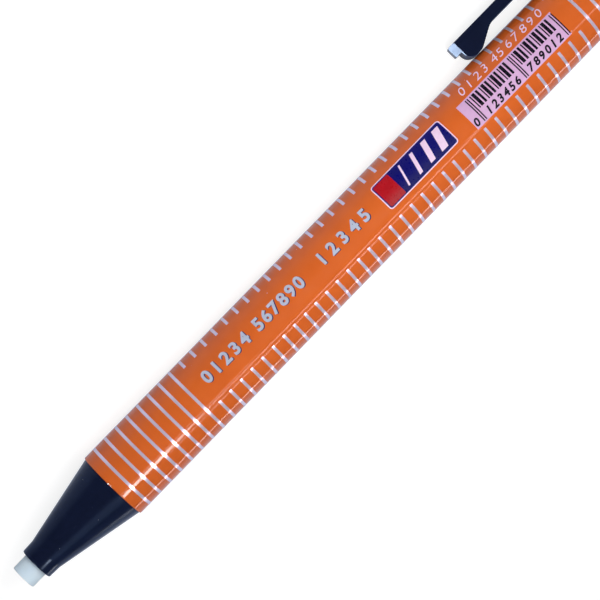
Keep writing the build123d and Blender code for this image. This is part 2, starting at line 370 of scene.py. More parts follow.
def eraser_vinyl_material():
    material, tree, shader, position = new_material("eraser vinyl")
    grey = use_group(tree, mottle, Vector=position, Scale=per_metre(GREY_PATCH), Low=0.0, High=0.6)
    spacing = per_metre(CRUMB_SPACING)
    specks = use_group(tree, dust, Vector=position, Scale=spacing, Share=0.05, Size=CRUMB_SIZE)
    tinted = blend_colours(tree, grey, (0.73, 0.87, 1.0, 1), (0.69, 0.83, 0.98, 1))
    tree.links.new(blend_colours(tree, specks, tinted, (0.5, 0.56, 0.68, 1)), shader.inputs["Base Color"])
    rough = use_group(tree, mottle, Vector=position, Scale=per_metre(0.4), Low=0.5, High=0.68)
    tree.links.new(rough, shader.inputs["Roughness"])
    wave, grain = per_metre(VINYL_GRAIN), per_metre(VINYL_FINE_GRAIN)
    height = use_group(tree, ripple, Vector=position, Wave=wave, Grain=grain)
    tree.links.new(add_bump(tree, height, VINYL_GRAIN_DEPTH), shader.inputs["Normal"])
    soft_light = {"Weight": 0.25, "Radius": (1.0, 0.9, 0.8), "Scale": 0.4 * MM}
    set_inputs(shader, {"Subsurface " + name: value for name, value in soft_light.items()})
    return material


eraser_vinyl = eraser_vinyl_material()
print("eraser:", eraser_vinyl.name)

# %% [markdown]
# The metal and rubber parts lie inside. A brass ring turned on a lathe keeps fine rings, which could be
# cut as real grooves, but a noise squeezed along the axis draws them at no cost. Drawn wire has a close
# even grain, and the retainer is a dull soft rubber with a faint bloom.

# %% Metals and rubber
def metal(name, colour, tarnish, stretch, polish, depth):
    """stretch is how closely the tool's marks lie along x, y and z, as lengths in millimetres."""
    material, tree, shader, position = new_material(name)
    scale = Vector(per_metre(length) for length in stretch)
    factors = {0: position, 1: scale}
    squeezed = add_node(tree, "ShaderNodeVectorMath", factors, operation="MULTIPLY").outputs[0]
    marks = use_group(tree, mottle, Vector=squeezed, Scale=1.0, Low=0.0, High=1.0)
    tree.links.new(blend_colours(tree, marks, (*colour, 1), (*tarnish, 1)), shader.inputs["Base Color"])
    low, high = polish
    spread = add_node(tree, "ShaderNodeMapRange", {"Value": marks, "To Min": low, "To Max": high})
    tree.links.new(spread.outputs[0], shader.inputs["Roughness"])
    tree.links.new(add_bump(tree, marks, depth), shader.inputs["Normal"])
    set_inputs(shader, {"Metallic": 1.0})
    return material


turned_brass = metal(
    "turned brass",
    colour=(0.78, 0.55, 0.22),
    tarnish=(0.62, 0.40, 0.15),
    stretch=(0.05, 4, 4),
    polish=(0.18, 0.32),
    depth=0.002,
)
drawn_wire = metal(
    "drawn wire",
    colour=(0.62, 0.62, 0.64),
    tarnish=(0.45, 0.45, 0.48),
    stretch=(0.3, 0.3, 0.3),
    polish=(0.2, 0.34),
    depth=0.001,
)


def soft_rubber_material():
    material, tree, shader, position = new_material("retainer rubber")
    bloom = use_group(tree, mottle, Vector=position, Scale=per_metre(0.8), Low=0.0, High=1.0)
    bloomed = blend_colours(tree, bloom, (0.02, 0.02, 0.02, 1), (0.04, 0.04, 0.042, 1))
    tree.links.new(bloomed, shader.inputs["Base Color"])
    rough = use_group(tree, mottle, Vector=position, Scale=per_metre(0.2), Low=0.6, High=0.8)
    tree.links.new(rough, shader.inputs["Roughness"])
    return material


retainer_rubber = soft_rubber_material()
print("inside:", turned_brass.name, drawn_wire.name, retainer_rubber.name)

# %% [markdown]
# The inks of the print lie on the barrel as thin skins. They could be a mask in the barrel's own
# material, but then their edges would blur, and each could not have its own gloss. Silver ink is fine
# metal flakes in a lacquer, so it is part metal and rather rough. That of the numbers is a bluer silver
# than that of the rings. The other inks are plain glossy lacquers. A little noise makes each slightly
# uneven, as a printing screen leaves it.

# %% Inks
COVER_PATCH = 0.5
SCREEN_GRAIN = 0.25


def ink(name, colour, thinner, polish, metallic=0.0):
    """thinner is the colour where the ink lies thinly, and polish is the range of roughness."""
    material, tree, shader, position = new_material(name)
    cover = use_group(tree, mottle, Vector=position, Scale=per_metre(COVER_PATCH), Low=0.0, High=1.0)
    tree.links.new(blend_colours(tree, cover, (*colour, 1), (*thinner, 1)), shader.inputs["Base Color"])
    low, high = polish
    rough = use_group(tree, mottle, Vector=position, Scale=per_metre(SCREEN_GRAIN), Low=low, High=high)
    tree.links.new(rough, shader.inputs["Roughness"])
    set_inputs(shader, {"Metallic": metallic, "Specular IOR Level": 0.25})
    return material


FLAKES = 0.4
FLAKE_POLISH, PANEL_POLISH, CARD_POLISH, LINE_POLISH = (0.21, 0.24), (0.27, 0.29), (0.28, 0.36), (0.24, 0.32)

silver_ink = ink("silver ink", (0.77, 0.68, 0.84), (0.74, 0.65, 0.81), FLAKE_POLISH, FLAKES)
blue_silver_ink = ink("blue silver ink", (0.74, 0.80, 1.0), (0.71, 0.77, 0.98), FLAKE_POLISH, FLAKES)
navy_ink = ink("navy ink", (0.003, 0.003, 0.16), (0.002, 0.002, 0.14), PANEL_POLISH)
lilac_ink = ink("lilac ink", (0.70, 0.43, 0.69), (0.66, 0.40, 0.66), CARD_POLISH)
pink_ink = ink("pale pink ink", (0.90, 0.68, 0.88), (0.85, 0.62, 0.83), LINE_POLISH)
red_ink = ink("red ink", (0.49, 0.003, 0.012), (0.44, 0.003, 0.010), PANEL_POLISH)
black_ink = ink("black ink", (0.006, 0.004, 0.012), (0.009, 0.006, 0.016), LINE_POLISH)
shadow_ink = ink("dark blue ink", (0.03, 0.02, 0.09), (0.04, 0.028, 0.11), LINE_POLISH)
print("inks:", [paint.name for paint in bpy.data.materials if paint.name.endswith("ink")])

# %% [markdown]
# Most of the pen's pieces were turned or moulded round an axis. A ready-made cylinder has knife-sharp
# edges that catch no light, and a Screw modifier leaves a seam where the turn closes. So each piece is
# drawn as the outline of its wall, with its edges rounded by arcs, and turned about the axis in many
# steps. The outline is closed, so the skin is closed too, and its volume tells whether its faces point
# outwards. A last helper takes a finished mesh to its place, gives it a material and shading, and makes
# it ride on one of the pen's moving bodies.

# %% Helpers for turned pieces
TURN_STEPS = 192
ARC_STEPS = 6
SHARP_ANGLE = math.radians(32)
ON_AXIS = 1e-6


def rounded(corners):
    """Draws arcs into an outline of corners that are (station, radius) or (station, radius, rounding)."""
    points = []
    for index, corner in enumerate(corners):
        here = Vector(corner[:2])
        rounding = corner[2] if len(corner) > 2 else 0
        if not rounding:
            points.append(here)
            continue
        before = (Vector(corners[index - 1][:2]) - here).normalized()
        after = (Vector(corners[(index + 1) % len(corners)][:2]) - here).normalized()
        half = before.angle(after) / 2
        centre = here + (before + after).normalized() * rounding / math.sin(half)
        start = (here + before * rounding / math.tan(half) - centre).normalized()
        end = (here + after * rounding / math.tan(half) - centre).normalized()
        for step in range(ARC_STEPS + 1):
            points.append(centre + start.slerp(end, step / ARC_STEPS) * rounding)
    return points


def turned(name, corners):
    """A closed outline of corners, turned about the pen's axis."""
    skin = bmesh.new()
    rows = []
    for station, radius in rounded(corners):
        count = 1 if radius < ON_AXIS else TURN_STEPS
        angles = [math.tau * step / TURN_STEPS for step in range(count)]
        points = [(station, radius * math.sin(angle), radius * math.cos(angle)) for angle in angles]
        ring = [skin.verts.new(point) for point in points]
        rows.append([ring[step % count] for step in range(TURN_STEPS + 1)])
    for row, following in zip(rows, rows[1:] + rows[:1]):
        for step in range(TURN_STEPS):
            loop = (row[step], following[step], following[step + 1], row[step + 1])
            corners_of_face = list(dict.fromkeys(loop))
            if len(corners_of_face) > 2:
                skin.faces.new(corners_of_face)
    if skin.calc_volume(signed=True) < 0:
        bmesh.ops.reverse_faces(skin, faces=skin.faces[:])
    return plain_mesh(name, skin)


def plain_mesh(name, skin):
    """Turns a finished bmesh into a mesh."""
    mesh = bpy.data.meshes.new(name)
    skin.to_mesh(mesh)
    skin.free()
    return mesh


def add_piece(name, mesh, body, material=None, stands_for=(), in_pen_frame=True):
    """Takes a mesh to its place and makes it a piece that rides on a body."""
    if in_pen_frame:
        mesh.transform(pen)
    if material:
        mesh.materials.clear()
        mesh.materials.append(material)
    mesh.shade_smooth()
    mesh.set_sharp_from_angle(angle=SHARP_ANGLE)
    mesh.name = name
    piece = bpy.data.objects.new(name, mesh)
    scene.collection.objects.link(piece)
    piece.modifiers.new("even shading", "WEIGHTED_NORMAL").keep_sharp = True
    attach(piece, body)
    if stands_for:
        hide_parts(*stands_for)
    print(name, "on", body, "with", len(mesh.polygons), "faces")
    return piece


# %% [markdown]
# The barrel is a tube whose bore is wider at both ends, where the nose's shank and the tail's spigot
# go in. A plain pipe with a Solidify modifier would have one bore all along, so the outline of the wall
# is drawn with its steps. Its mouth has a fine rounded edge, which catches a light beside the nose.

# %% Barrel
FIT = 0.05
BARREL_EDGE = 0.16
BORE_STEP = 0.35
SLEEVE_FLANGE = 1.5

socket_radius = turned_sizes("mechanism_sleeve")[2] + FIT
tail_front, tail_rear, _ = turned_sizes("tail_collar")
flange_rear = nose_rear + SLEEVE_FLANGE
barrel_outline = [
    (barrel_front, socket_radius, BARREL_EDGE / 2),
    (barrel_front, barrel_radius, BARREL_EDGE),
    (barrel_rear, barrel_radius, BARREL_EDGE),
    (barrel_rear, socket_radius, BARREL_EDGE / 2),
    (tail_front - FIT, socket_radius),
    (tail_front - FIT, socket_radius - BORE_STEP),
    (flange_rear, socket_radius - BORE_STEP),
    (flange_rear, socket_radius),
]
barrel_mesh = turned("barrel_shell", barrel_outline)
add_piece("barrel_shell", barrel_mesh, "holder", orange_plastic, ["barrel"])

# %% [markdown]
# The nose is one moulding: a short collar that holds the stick upright, a long cone, and a shank that
# screws into the barrel. Its bore steps outwards for the soft retainer, the chuck's head and the clutch
# ring. Their places come from those pieces and from how far they travel, and the seat where the ring
# stops leaves it a little room. A real thread winds, and could be a swept helix, but it lies inside the
# barrel, so a loop cuts it as rings, which turn with the rest of the outline.

# %% Nose
TIP_BORE_GAP = 0.08
TIP_WALL = 0.57
TIP_EDGE = 0.2
COLLAR_LENGTH = 2.07
COLLAR_FLARE = 0.08
CONE_STEP = 0.02
STROKE_SPARE = 0.3
HEAD_GAP = 0.2
RING_GAP = 0.1
THREAD_PITCH = 0.8
THREAD_DEPTH = 0.22
THREAD_TURNS = 5
THREAD_START = 1.4

retainer_front, _, retainer_radius = turned_sizes("eraser_retainer")
chuck_front, _, chuck_radius = turned_sizes("chuck")
ring_front, _, ring_radius = turned_sizes("clutch_ring")
knock_stroke = joints["knock_slide"]["range_m"][1] / MM
ring_stroke = joints["ring_slide"]["range_m"][1] / MM
tip_bore = eraser_radius + TIP_BORE_GAP
collar_rear = nose_front + COLLAR_LENGTH
collar_radius = tip_bore + TIP_WALL
shank_radius = socket_radius - FIT
chamber_front = chuck_front - knock_stroke - STROKE_SPARE
ring_seat = ring_front - ring_stroke - FIT
thread = []
for turn in range(THREAD_TURNS):
    ridge = barrel_front + THREAD_START + THREAD_PITCH * turn
    thread += [(ridge, shank_radius), (ridge + THREAD_PITCH / 2, shank_radius - THREAD_DEPTH)]
nose_outline = [
    (nose_front, tip_bore, TIP_EDGE / 4),
    (nose_front, collar_radius, TIP_EDGE),
    (collar_rear, collar_radius + COLLAR_FLARE),
    (collar_rear, collar_radius + COLLAR_FLARE + CONE_STEP),
    (barrel_front, nose_radius, TIP_EDGE / 2),
    (barrel_front, shank_radius),
    *thread,
    (barrel_front + THREAD_START + THREAD_PITCH * THREAD_TURNS, shank_radius),
    (nose_rear, shank_radius, TIP_EDGE / 2),
    (nose_rear, ring_radius + RING_GAP),
    (ring_seat, ring_radius + RING_GAP),
    (ring_seat, chuck_radius + HEAD_GAP),
    (chamber_front, chuck_radius + HEAD_GAP),
    (chamber_front, retainer_radius + FIT),
    (retainer_front, retainer_radius + FIT),
    (retainer_front, tip_bore),
]
nose_mesh = turned("nose_shell", nose_outline)
add_piece("nose_shell", nose_mesh, "holder", black_plastic, ["nose_cone"])

# %% [markdown]
# The stick of eraser is cut flat at its tip, with only a slight round at the edge. A worn tip could be
# sculpted, but this one is new. Only its first few millimetres show, and the rest reaches back through
# the chuck into the feed tube, so that it can be fed out.

# %% Eraser
ERASER_EDGE = 0.12
eraser_outline = [
    (0, 0),
    (0, eraser_radius, ERASER_EDGE),
    (eraser_length, eraser_radius, ERASER_EDGE),
    (eraser_length, 0),
]
eraser_mesh = turned("eraser_refill", eraser_outline)
add_piece("eraser_refill", eraser_mesh, "eraser", eraser_vinyl, ["eraser_stick"])

# %% [markdown]
# The tail collar closes the barrel behind the clip's band and guides the button, which is a cap over
# the end of the feed tube. Both are seen from behind, so their rims and edges are well rounded. A Bevel
# modifier could do that too, but arcs in the outline give each edge its own radius.

# %% Tail and button
TAIL_BORE_WALL = 0.8
TAIL_SLOPE = 0.7
TAIL_EDGE = 0.15
BUTTON_EDGE = 0.7
BUTTON_END_WALL = 2.2
TUBE_BORE_GAP = 0.2

_, band_rear, _ = turned_sizes("clip_band")
button_front, button_rear, button_radius = turned_sizes("knock_button")
_, tube_rear, tube_radius = turned_sizes("feed_tube")
tail_bore = shank_radius - TAIL_BORE_WALL
tail_outline = [
    (tail_front, tail_bore, TAIL_EDGE / 2),
    (tail_front, shank_radius, TAIL_EDGE),
    (band_rear, shank_radius),
    (band_rear, barrel_radius, TAIL_EDGE / 3),
    (tail_rear - TAIL_SLOPE, barrel_radius, TAIL_EDGE * 2),
    (tail_rear, barrel_radius - TAIL_SLOPE, TAIL_EDGE),
    (tail_rear, tail_bore, TAIL_EDGE),
]
tail_mesh = turned("tail_ring", tail_outline)
add_piece("tail_ring", tail_mesh, "holder", black_plastic, ["tail_collar"])

tube_bore = eraser_radius + TUBE_BORE_GAP
button_outline = [
    (button_front, tube_radius + FIT, TAIL_EDGE / 3),
    (button_front, button_radius, TAIL_EDGE),
    (button_rear, button_radius, BUTTON_EDGE),
    (button_rear, 0),
    (button_rear - BUTTON_END_WALL, 0),
    (button_rear - BUTTON_END_WALL, tube_bore),
    (tube_rear + FIT, tube_bore),
    (tube_rear + FIT, tube_radius + FIT),
]
button_mesh = turned("button_cap", button_outline)
add_piece("button_cap", button_mesh, "knock_unit", black_plastic, ["knock_button"])

# %% [markdown]
# The clip, its band and the pieces of the clutch already have their true shapes in the frame, but as
# loose triangles with hard edges. They could be modelled again, but a copy can't drift from its
# original. So a copy of each is joined up, its flat faces are merged, and a Bevel modifier rounds the
# sharp edges by a few hundredths of a millimetre, as a mould does.

# %% Helpers for copied pieces
FLAT_ANGLE = math.radians(0.5)
BEVEL_ANGLE = math.radians(38)
BEVEL_SEGMENTS = 3
MERGE_DISTANCE = 0.0005


def finished_copy(node, name, body, material, edge, trim=None):
    """A joined and bevelled copy of a CAD piece, which stands for it. edge is in millimetres."""
    skin = bmesh.new()
    skin.from_mesh(frame["nodes"][node].data)
    bmesh.ops.remove_doubles(skin, verts=skin.verts[:], dist=MERGE_DISTANCE * MM)
    if trim:
        trim(skin)
    bmesh.ops.dissolve_limit(skin, angle_limit=FLAT_ANGLE, verts=skin.verts[:], edges=skin.edges[:])
    piece = add_piece(name, plain_mesh(name, skin), body, material, [node], in_pen_frame=False)
    bevel = piece.modifiers.new("moulded edge", "BEVEL")
    bevel.width = edge * MM
    bevel.segments = BEVEL_SEGMENTS
    bevel.limit_method = "ANGLE"
    bevel.angle_limit = BEVEL_ANGLE
    piece.modifiers.move(len(piece.modifiers) - 1, 0)
    return piece


def finished_copies(body, material, pieces):
    """Finished copies on one body and of one material, from rows of (node, name, edge)."""
    for node, name, edge in pieces:
        finished_copy(node, name, body, material, edge)

# %% [markdown]
# The clip is a flat bar with a bump that presses on the barrel. The corners of its end are cut off at a
# slant, and the cuts mirror a light as one pale patch. A wide bevel could make them, but it would eat
# into the bump too. Two cuts by a plane, in the pen's own frame, take off the corners and nothing
# else, and each hole that they leave is closed by one flat face.

# %% Clip
CLIP_END_FLAT = 1.05

clip_front = turned_sizes("clip_arm")[0]
clip_side = max((pen.inverted() @ vertex.co).z for vertex in frame["nodes"]["clip_arm"].data.vertices)


def flatten_clip_end(skin):
    """Cuts the corners of the clip's end to slanted flats, one towards the print and one away from it."""
    skin.transform(pen.inverted())
    for side in (1, -1):
        corner = (clip_front, 0, side * (clip_side - CLIP_END_FLAT))
        slant = (-1, 0, side)
        everything = skin.verts[:] + skin.edges[:] + skin.faces[:]
        bmesh.ops.bisect_plane(skin, geom=everything, plane_co=corner, plane_no=slant, clear_outer=True)
        bmesh.ops.holes_fill(skin, edges=[edge for edge in skin.edges if edge.is_boundary])
    skin.transform(pen)


finished_copy("clip_arm", "clip_bar", "clip", black_plastic, 0.05, flatten_clip_end)
finished_copy("clip_band", "clip_ring", "holder", black_plastic, 0.06)

# %% [markdown]
# The clutch is what makes the pen work. A slit chuck grips the stick while a brass ring holds its jaws
# shut. A link joins the chuck to the tube behind it, which carries the rest of the stick, and a sleeve
# guides them. A soft ring in the nose keeps the stick from slipping back. None of them shows from
# outside, so they need no new shape, only the softened edges of a mould and their own materials.

# %% Clutch and its tube
knocked_pieces = [
    ("chuck", "chuck_jaws", 0.03),
    ("feed_coupler", "feed_link", 0.04),
    ("feed_tube", "stick_tube", 0.05),
]
finished_copies("knock_unit", natural_plastic, knocked_pieces)
finished_copies("holder", natural_plastic, [("mechanism_sleeve", "spring_sleeve", 0.04)])
finished_copies("clutch", turned_brass, [("clutch_ring", "brass_ring", 0.05)])
finished_copies("holder", retainer_rubber, [("eraser_retainer", "soft_ring", 0.05)])

# %% [markdown]
# What follows a rule is made by Geometry Nodes: the coils of the spring, and the rows of the print. A
# loop in Python could place each copy as well, but a tree holds the rule in one place, with named inputs
# for its sizes. These helpers begin a tree, end it with Realize Instances and Set Material, and run it on
# a passing object, whose result is kept as a plain mesh.

# %% Helpers for Geometry Nodes
def geometry_tree(name, sockets):
    """A Geometry Nodes tree with named inputs and one geometry output."""
    tree = bpy.data.node_groups.new(name, "GeometryNodeTree")
    for socket, kind in sockets.items():
        tree.interface.new_socket(socket, in_out="INPUT", socket_type=kind)
    tree.interface.new_socket("Geometry", in_out="OUTPUT", socket_type="NodeSocketGeometry")
    return tree, tree.nodes.new("NodeGroupInput").outputs, tree.nodes.new("NodeGroupOutput").inputs


def finish_tree(tree, made, paint, result):
    """The end of every tree: real copies instead of instances, and a material."""
    realized = add_node(tree, "GeometryNodeRealizeInstances", {0: made})
    painted = add_node(tree, "GeometryNodeSetMaterial", {"Geometry": realized.outputs[0], "Material": paint})
    tree.links.new(painted.outputs[0], result[0])
    print(tree.name, "has", len(tree.nodes), "nodes")


def run_tree(tree, values):
    """Runs a tree with values for its named inputs, and returns the plain mesh that it makes."""
    carrier = bpy.data.objects.new("carrier", bpy.data.meshes.new("carrier"))
    scene.collection.objects.link(carrier)
    modifier = carrier.modifiers.new("tree", "NODES")
    modifier.node_group = tree
    for socket in tree.interface.items_tree:
        if socket.in_out == "INPUT":
            modifier[socket.identifier] = values[socket.name]
    evaluated = carrier.evaluated_get(bpy.context.evaluated_depsgraph_get())
    mesh = bpy.data.meshes.new_from_object(evaluated)
    bpy.data.objects.remove(carrier)
    return mesh

# %% [markdown]
# The return spring pushes the chuck back into its ring after each knock. A Screw modifier could wind it,
# but a spiral curve with a round section, swept to a mesh, has its turns, its wire and its radius as
# plain inputs. It rides on the holder.

# %% Return spring
WIRE = 0.35
SPRING_TURNS = 10.0
STEPS_PER_TURN = 40
WIRE_STEPS = 12

spring_tree, given, result = geometry_tree(
    "coil spring",
    {"Front": FLOAT, "Length": FLOAT, "Turns": FLOAT, "Radius": FLOAT, "Wire": FLOAT, "Steel": MATERIAL},
)
spiral = add_node(
    spring_tree,
    "GeometryNodeCurveSpiral",
    {
        "Resolution": STEPS_PER_TURN,
        "Rotations": given["Turns"],
        "Start Radius": given["Radius"],
        "End Radius": given["Radius"],
        "Height": given["Length"],
    },
)
round_wire = {"Resolution": WIRE_STEPS, "Radius": number(spring_tree, "MULTIPLY", given["Wire"], 0.5)}
section = add_node(spring_tree, "GeometryNodeCurvePrimitiveCircle", round_wire, mode="RADIUS")
swept = {"Curve": spiral.outputs[0], "Profile Curve": section.outputs[0], "Fill Caps": True}
coil = add_node(spring_tree, "GeometryNodeCurveToMesh", swept)
front = add_node(spring_tree, "ShaderNodeCombineXYZ", {"X": given["Front"]})
along = add_node(
    spring_tree,
    "GeometryNodeTransform",
    {"Geometry": coil.outputs[0], "Translation": front.outputs[0], "Rotation": (0, math.pi / 2, 0)},
)
finish_tree(spring_tree, along.outputs[0], given["Steel"], result)

spring_front, spring_rear, spring_outer = turned_sizes("return_spring")
spring_mesh = run_tree(
    spring_tree,
    {
        "Front": spring_front + WIRE / 2,
        "Length": spring_rear - spring_front - WIRE,
        "Turns": SPRING_TURNS,
        "Radius": spring_outer - WIRE / 2,
        "Wire": WIRE,
        "Steel": drawn_wire,
    },
)
spring = add_piece("coil_spring", spring_mesh, "holder", None, ["return_spring"])
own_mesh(spring)

# %% [markdown]
# Rings and bars are printed in rows at an even spacing. Each is a flat ribbon bent round the barrel: an
# arc, or a whole circle, with a thin oblong section. A picture on the barrel could carry them, but real
# ribbons keep sharp edges and can shine in their own way. One tree makes a row of them from its count,
# its pitch and the size of its ribbon.

# %% Tree for printed rows
row_tree, given, result = geometry_tree(
    "printed row",
    {
        "Count": INTEGER,
        "First": FLOAT,
        "Pitch": FLOAT,
        "Width": FLOAT,
        "Thickness": FLOAT,
        "Radius": FLOAT,
        "Start": FLOAT,
        "Sweep": FLOAT,
        "Points": INTEGER,
        "Whole": SWITCH,
        "Ink": MATERIAL,
    },
)
arc = add_node(
    row_tree,
    "GeometryNodeCurveArc",
    {
        "Resolution": given["Points"],
        "Radius": given["Radius"],
        "Start Angle": given["Start"],
        "Sweep Angle": given["Sweep"],
    },
    mode="RADIUS",
)
circle = add_node(
    row_tree,
    "GeometryNodeCurvePrimitiveCircle",
    {"Resolution": given["Points"], "Radius": given["Radius"]},
    mode="RADIUS",
)
line = add_node(
    row_tree,
    "GeometryNodeSwitch",
    {"Switch": given["Whole"], "False": arc.outputs[0], "True": circle.outputs[0]},
    input_type="GEOMETRY",
)
oblong = add_node(
    row_tree,
    "GeometryNodeCurvePrimitiveQuadrilateral",
    {"Width": given["Thickness"], "Height": given["Width"]},
    mode="RECTANGLE",
)
ribbon = add_node(
    row_tree,
    "GeometryNodeCurveToMesh",
    {"Curve": line.outputs[0], "Profile Curve": oblong.outputs[0], "Fill Caps": True},
)
upright = add_node(
    row_tree, "GeometryNodeTransform", {"Geometry": ribbon.outputs[0], "Rotation": (0, -math.pi / 2, 0)}
)
first = add_node(row_tree, "ShaderNodeCombineXYZ", {"X": given["First"]})
step = add_node(row_tree, "ShaderNodeCombineXYZ", {"X": given["Pitch"]})
places = add_node(
    row_tree,
    "GeometryNodeMeshLine",
    {"Count": given["Count"], "Start Location": first.outputs[0], "Offset": step.outputs[0]},
    mode="OFFSET",
)
row = add_node(
    row_tree, "GeometryNodeInstanceOnPoints", {"Points": places.outputs[0], "Instance": upright.outputs[0]}
)
finish_tree(row_tree, row.outputs[0], given["Ink"], result)

# %% [markdown]
# The barrel is ringed in silver. Eight whole rings lie behind the nose, the next ones break off at a
# plain strip that holds the other prints, and whole rings follow again to the rear. All have one pitch,
# so three rows of the same tree make them, and the middle row has arcs in place of circles. Each ribbon
# is sunk into the barrel by as much as it stands out, so no gap can show under it.

# %% Silver rings
INK_SINK = 0.01
RING_PROUD = 0.01
RING_PITCH = 2.0945
FIRST_RING = 19.54
RING_WIDTH = 0.43
RING_POINTS = 128
FRONT_RINGS = 8
REAR_RING = 43
STRIP_LOW = math.radians(-26)
STRIP_HIGH = math.radians(50)


def printed_row(name, count, first, pitch, width, proud, paint, low=None, high=None, points=RING_POINTS):
    """A row of ribbons round the barrel, from the angle low to the angle high, or whole rings."""
    values = {
        "Count": count,
        "First": first,
        "Pitch": pitch,
        "Width": width,
        "Thickness": INK_SINK + proud,
        "Radius": barrel_radius + (proud - INK_SINK) / 2,
        "Start": low or 0.0,
        "Sweep": (high or 0.0) - (low or 0.0),
        "Points": points,
        "Whole": low is None,
        "Ink": paint,
    }
    return add_piece(name, run_tree(row_tree, values), "holder")


def rings(name, count, skipped, low=None, high=None):
    """Silver rings, after some that are skipped."""
    first = FIRST_RING + RING_PITCH * skipped
    printed_row(name, count, first, RING_PITCH, RING_WIDTH, RING_PROUD, silver_ink, low, high)


rear_rings = int((barrel_rear - FIRST_RING) / RING_PITCH) - REAR_RING + 1
rings("front_rings", FRONT_RINGS, 0)
rings("strip_rings", REAR_RING - FRONT_RINGS, FRONT_RINGS, STRIP_HIGH, math.tau + STRIP_LOW)
rings("rear_rings", rear_rings, REAR_RING)

# %% [markdown]
# Numbers and panels are drawn flat first, as on the printer's film, with x along the pen and y up
# towards the clip. A Shrinkwrap modifier could press them on the barrel, but it would leave open sheets
# with bent edges. So a flat shape is sliced into narrow strips along the pen, wrapped round the barrel
# by a sum, and given a top, a bottom and walls as a closed thin skin.

# %% Helpers for flat prints
STRIP_STEP = 0.28
LETTER_STEPS = 5


def flat_shape(flat, corners):
    """Adds a filled outline, with its corners rounded as asked, to a flat print."""
    flat.faces.new([flat.verts.new((x, y, 0)) for x, y in rounded(corners)])


def flat_panel(flat, left, right, low, high, rounding=0.0):
    """Adds an oblong with rounded corners to a flat print."""
    corners = [(left, low), (right, low), (right, high), (left, high)]
    flat_shape(flat, [(x, y, rounding) for x, y in corners])


def flat_number(flat, text, middle, low, height, slant=0.0, weight=0.0):
    """Adds a plain number to a flat print, centred on a station and standing on a line."""
    letters = bpy.data.curves.new(text, "FONT")
    letters.body = text
    letters.shear = slant
    letters.offset = weight
    letters.resolution_u = LETTER_STEPS
    carrier = bpy.data.objects.new(text, letters)
    scene.collection.objects.link(carrier)
    evaluated = carrier.evaluated_get(bpy.context.evaluated_depsgraph_get())
    mesh = bpy.data.meshes.new_from_object(evaluated)
    bpy.data.objects.remove(carrier)
    left = min(vertex.co.x for vertex in mesh.vertices)
    right = max(vertex.co.x for vertex in mesh.vertices)
    bottom = min(vertex.co.y for vertex in mesh.vertices)
    top = max(vertex.co.y for vertex in mesh.vertices)
    scale = height / (top - bottom)
    for vertex in mesh.vertices:
        x = middle + (vertex.co.x - (left + right) / 2) * scale
        vertex.co = (x, low + (vertex.co.y - bottom) * scale, 0)
    flat.from_mesh(mesh)
    bpy.data.meshes.remove(mesh)


def round_the_barrel(point, proud):
    """Wraps a flat point round the barrel, a little proud of it."""
    angle = point.y / barrel_radius
    radius = barrel_radius + proud
    return point.x, radius * math.sin(angle), radius * math.cos(angle)


def slice_along(flat):
    """Cuts a flat print into narrow strips along the pen."""
    heights = [vertex.co.y for vertex in flat.verts]
    for strip in range(math.floor(min(heights) / STRIP_STEP), math.ceil(max(heights) / STRIP_STEP)):
        everything = flat.verts[:] + flat.edges[:] + flat.faces[:]
        cut = (0, strip * STRIP_STEP, 0)
        bmesh.ops.bisect_plane(flat, geom=everything, plane_co=cut, plane_no=(0, 1, 0))


def wrapped(name, flat, proud):
    """Wraps a flat print round the barrel as a closed thin skin."""
    bmesh.ops.remove_doubles(flat, verts=flat.verts[:], dist=MERGE_DISTANCE)
    slice_along(flat)
    flat.normal_update()
    bmesh.ops.reverse_faces(flat, faces=[face for face in flat.faces if face.normal.z < 0])
    flat.verts.index_update()
    skin = bmesh.new()
    bottom = [skin.verts.new(round_the_barrel(vertex.co, -INK_SINK)) for vertex in flat.verts]
    top = [skin.verts.new(round_the_barrel(vertex.co, proud)) for vertex in flat.verts]
    for face in flat.faces:
        order = [vertex.index for vertex in face.verts]
        skin.faces.new([top[index] for index in order])
        skin.faces.new([bottom[index] for index in reversed(order)])
    for edge in flat.edges:
        if edge.is_boundary:
            start = edge.link_loops[0].vert.index
            end = edge.link_loops[0].link_loop_next.vert.index
            skin.faces.new((bottom[start], bottom[end], top[end], top[start]))
    flat.free()
    return plain_mesh(name, skin)


def add_print(name, flat, proud, paint):
    """A flat print, wrapped and laid on the barrel."""
    return add_piece(name, wrapped(name, flat, proud), "holder", paint)

# %% [markdown]
# The strip carries plain digits in silver, which count up in three groups. Each has a dark blue shadow
# set off a little to one side, which makes thin silver readable on orange. The shadow could be a darker
# rim in the ink's own material, but a second print under the first is how a printer does it.

# %% Silver numbers
SHADOW_PROUD, NUMBER_PROUD = 0.006, 0.014
NUMBER_HEIGHT = 1.95
NUMBER_LOW = 0.2
NUMBER_GROUPS = [(5, 37.5, 1.82), (6, 47.5, 1.6), (5, 60.0, 2.1)]
NUMBER_WEIGHT = 0.035
SHADOW_SHIFT = 0.12


def counted_digits(groups):
    """Digits that count up through groups of (how many, first station, spacing), with their stations."""
    stations = [first + spacing * index for count, first, spacing in groups for index in range(count)]
    return [(str(index % 10), station) for index, station in enumerate(stations)]


def number_row(groups, low, height, slant=0.0, weight=0.0, shift=0.0):
    """A flat print of counted digits, moved back along the pen and down by a shift."""
    flat = bmesh.new()
    for text, station in counted_digits(groups):
        flat_number(flat, text, station + shift, low - shift, height, slant, weight)
    return flat


